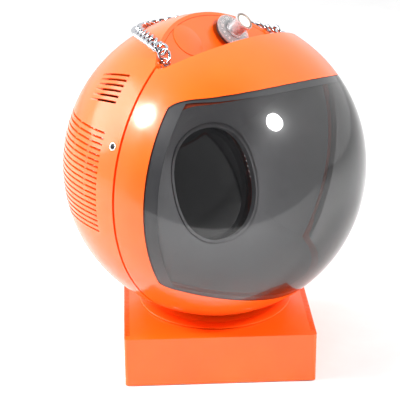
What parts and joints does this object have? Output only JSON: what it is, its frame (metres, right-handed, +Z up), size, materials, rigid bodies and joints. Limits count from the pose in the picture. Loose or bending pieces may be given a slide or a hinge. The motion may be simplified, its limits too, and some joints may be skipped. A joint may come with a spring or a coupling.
{
  "type": "portable television",
  "caption": "Ball-shaped portable television with a smoked visor over a small picture tube, a chain handle and a clear tuning knob, swivelling on a square base.",
  "frame": {"origin": "centre of the square base where its feet stand", "axes": "+Z up, -Y to the front of the base, +X to its right; the ball is turned 47 degrees about +Z from the base's front and leans 7.4 degrees to its own right"},
  "size_m": [0.28, 0.28, 0.3193],
  "materials": {
    "orange_plastic": "glossy",
    "black_plastic": "satin",
    "rubber_feet": "matte",
    "steel": "zinc plated",
    "iron": "dull",
    "nylon": "satin",
    "smoked_visor": "clear smoked grey, polished",
    "grey_mask": "smooth satin",
    "silver_bezel": "silver grey",
    "chrome": "bright",
    "tube_glass": "polished dark glass",
    "copper_coils": "enamelled copper wire",
    "magnet_rings": "dull",
    "brown_plastic": "satin",
    "green_board": "satin",
    "aluminium": "bare",
    "tinned_box": "tin plated",
    "brass": "turned",
    "clear_plastic": "clear, polished",
    "paper_cone": "pressed paper"
  },
  "bodies": {
    "base": {"base_housing": "orange_plastic", "base_plate": "black_plastic", "base_feet": "rubber_feet", "base_screws": "steel", "ballast_weight": "iron", "swivel_bush": "nylon", "glide_ring": "nylon"},
    "set": {"turntable": "orange_plastic", "swivel_spindle": "steel", "spindle_washer": "steel", "spindle_clip": "steel", "set_bolt": "steel", "front_shell": "orange_plastic", "rear_shell": "orange_plastic", "visor": "smoked_visor", "screen_mask": "grey_mask", "screen_bezel": "silver_bezel", "control_panel": "orange_plastic", "blank_cap": "orange_plastic", "shell_screws": "chrome", "screw_cups": "chrome", "chain_pins": "steel", "picture_tube": "tube_glass", "tube_band": "steel", "tube_screws": "steel", "yoke_coils": "copper_coils", "yoke_core": "iron", "centring_rings": "magnet_rings", "tube_socket": "brown_plastic", "chassis_plate": "steel", "chassis_screws": "steel", "main_board": "green_board", "board_spacers": "nylon", "capacitors": "brown_plastic", "heat_sink": "aluminium", "mains_transformer": "iron", "flyback_transformer": "brown_plastic", "tuner_box": "tinned_box", "tuner_bush": "brass", "speaker_frame": "steel", "speaker_cone": "paper_cone", "speaker_magnet": "iron", "rear_panel": "black_plastic", "rear_panel_screws": "chrome", "control_pots": "tinned_box", "mains_inlet": "black_plastic", "aerial_socket": "tinned_box"},
    "channel_knob": {"channel_dial": "clear_plastic", "number_disc": "black_plastic", "channel_shaft": "steel"},
    "fine_knob": {"fine_hub": "clear_plastic", "fine_cap": "nylon", "fine_shaft": "steel"},
    "volume": {"volume_knob": "black_plastic"},
    "brightness": {"brightness_knob": "black_plastic"},
    "contrast": {"contrast_knob": "black_plastic"},
    "chain_loop": {"carry_chain": "chrome", "chain_end_links": "chrome"}
  },
  "joints": [
    {"name": "swivel", "type": "hinge", "parent": "base", "child": "set", "pos_m": [0, 0, 0.04], "axis": [0, 0, 1], "range_deg": [-137, 43]},
    {"name": "channel_turn", "type": "hinge", "parent": "set", "child": "channel_knob", "pos_m": [0.01492, 0.03319, 0.29556], "axis": [0.5871, -0.4252, 0.6889], "continuous": true},
    {"name": "fine_turn", "type": "hinge", "parent": "set", "child": "fine_knob", "pos_m": [0.01492, 0.03319, 0.29556], "axis": [0.5871, -0.4252, 0.6889], "continuous": true},
    {"name": "volume_turn", "type": "hinge", "parent": "set", "child": "volume", "pos_m": [-0.06602, 0.10084, 0.2406], "axis": [-0.6452, 0.6676, 0.3715], "range_deg": [-150, 150]},
    {"name": "brightness_turn", "type": "hinge", "parent": "set", "child": "brightness", "pos_m": [-0.08022, 0.08561, 0.2433], "axis": [-0.6452, 0.6676, 0.3715], "range_deg": [-150, 150]},
    {"name": "contrast_turn", "type": "hinge", "parent": "set", "child": "contrast", "pos_m": [-0.09442, 0.07038, 0.24601], "axis": [-0.6452, 0.6676, 0.3715], "range_deg": [-150, 150]},
    {"name": "chain_lift", "type": "hinge", "parent": "set", "child": "chain_loop", "pos_m": [0.0115, 0.0072, 0.28345], "axis": [0.6763, 0.7253, -0.1288], "range_deg": [0, 55]}
  ]
}
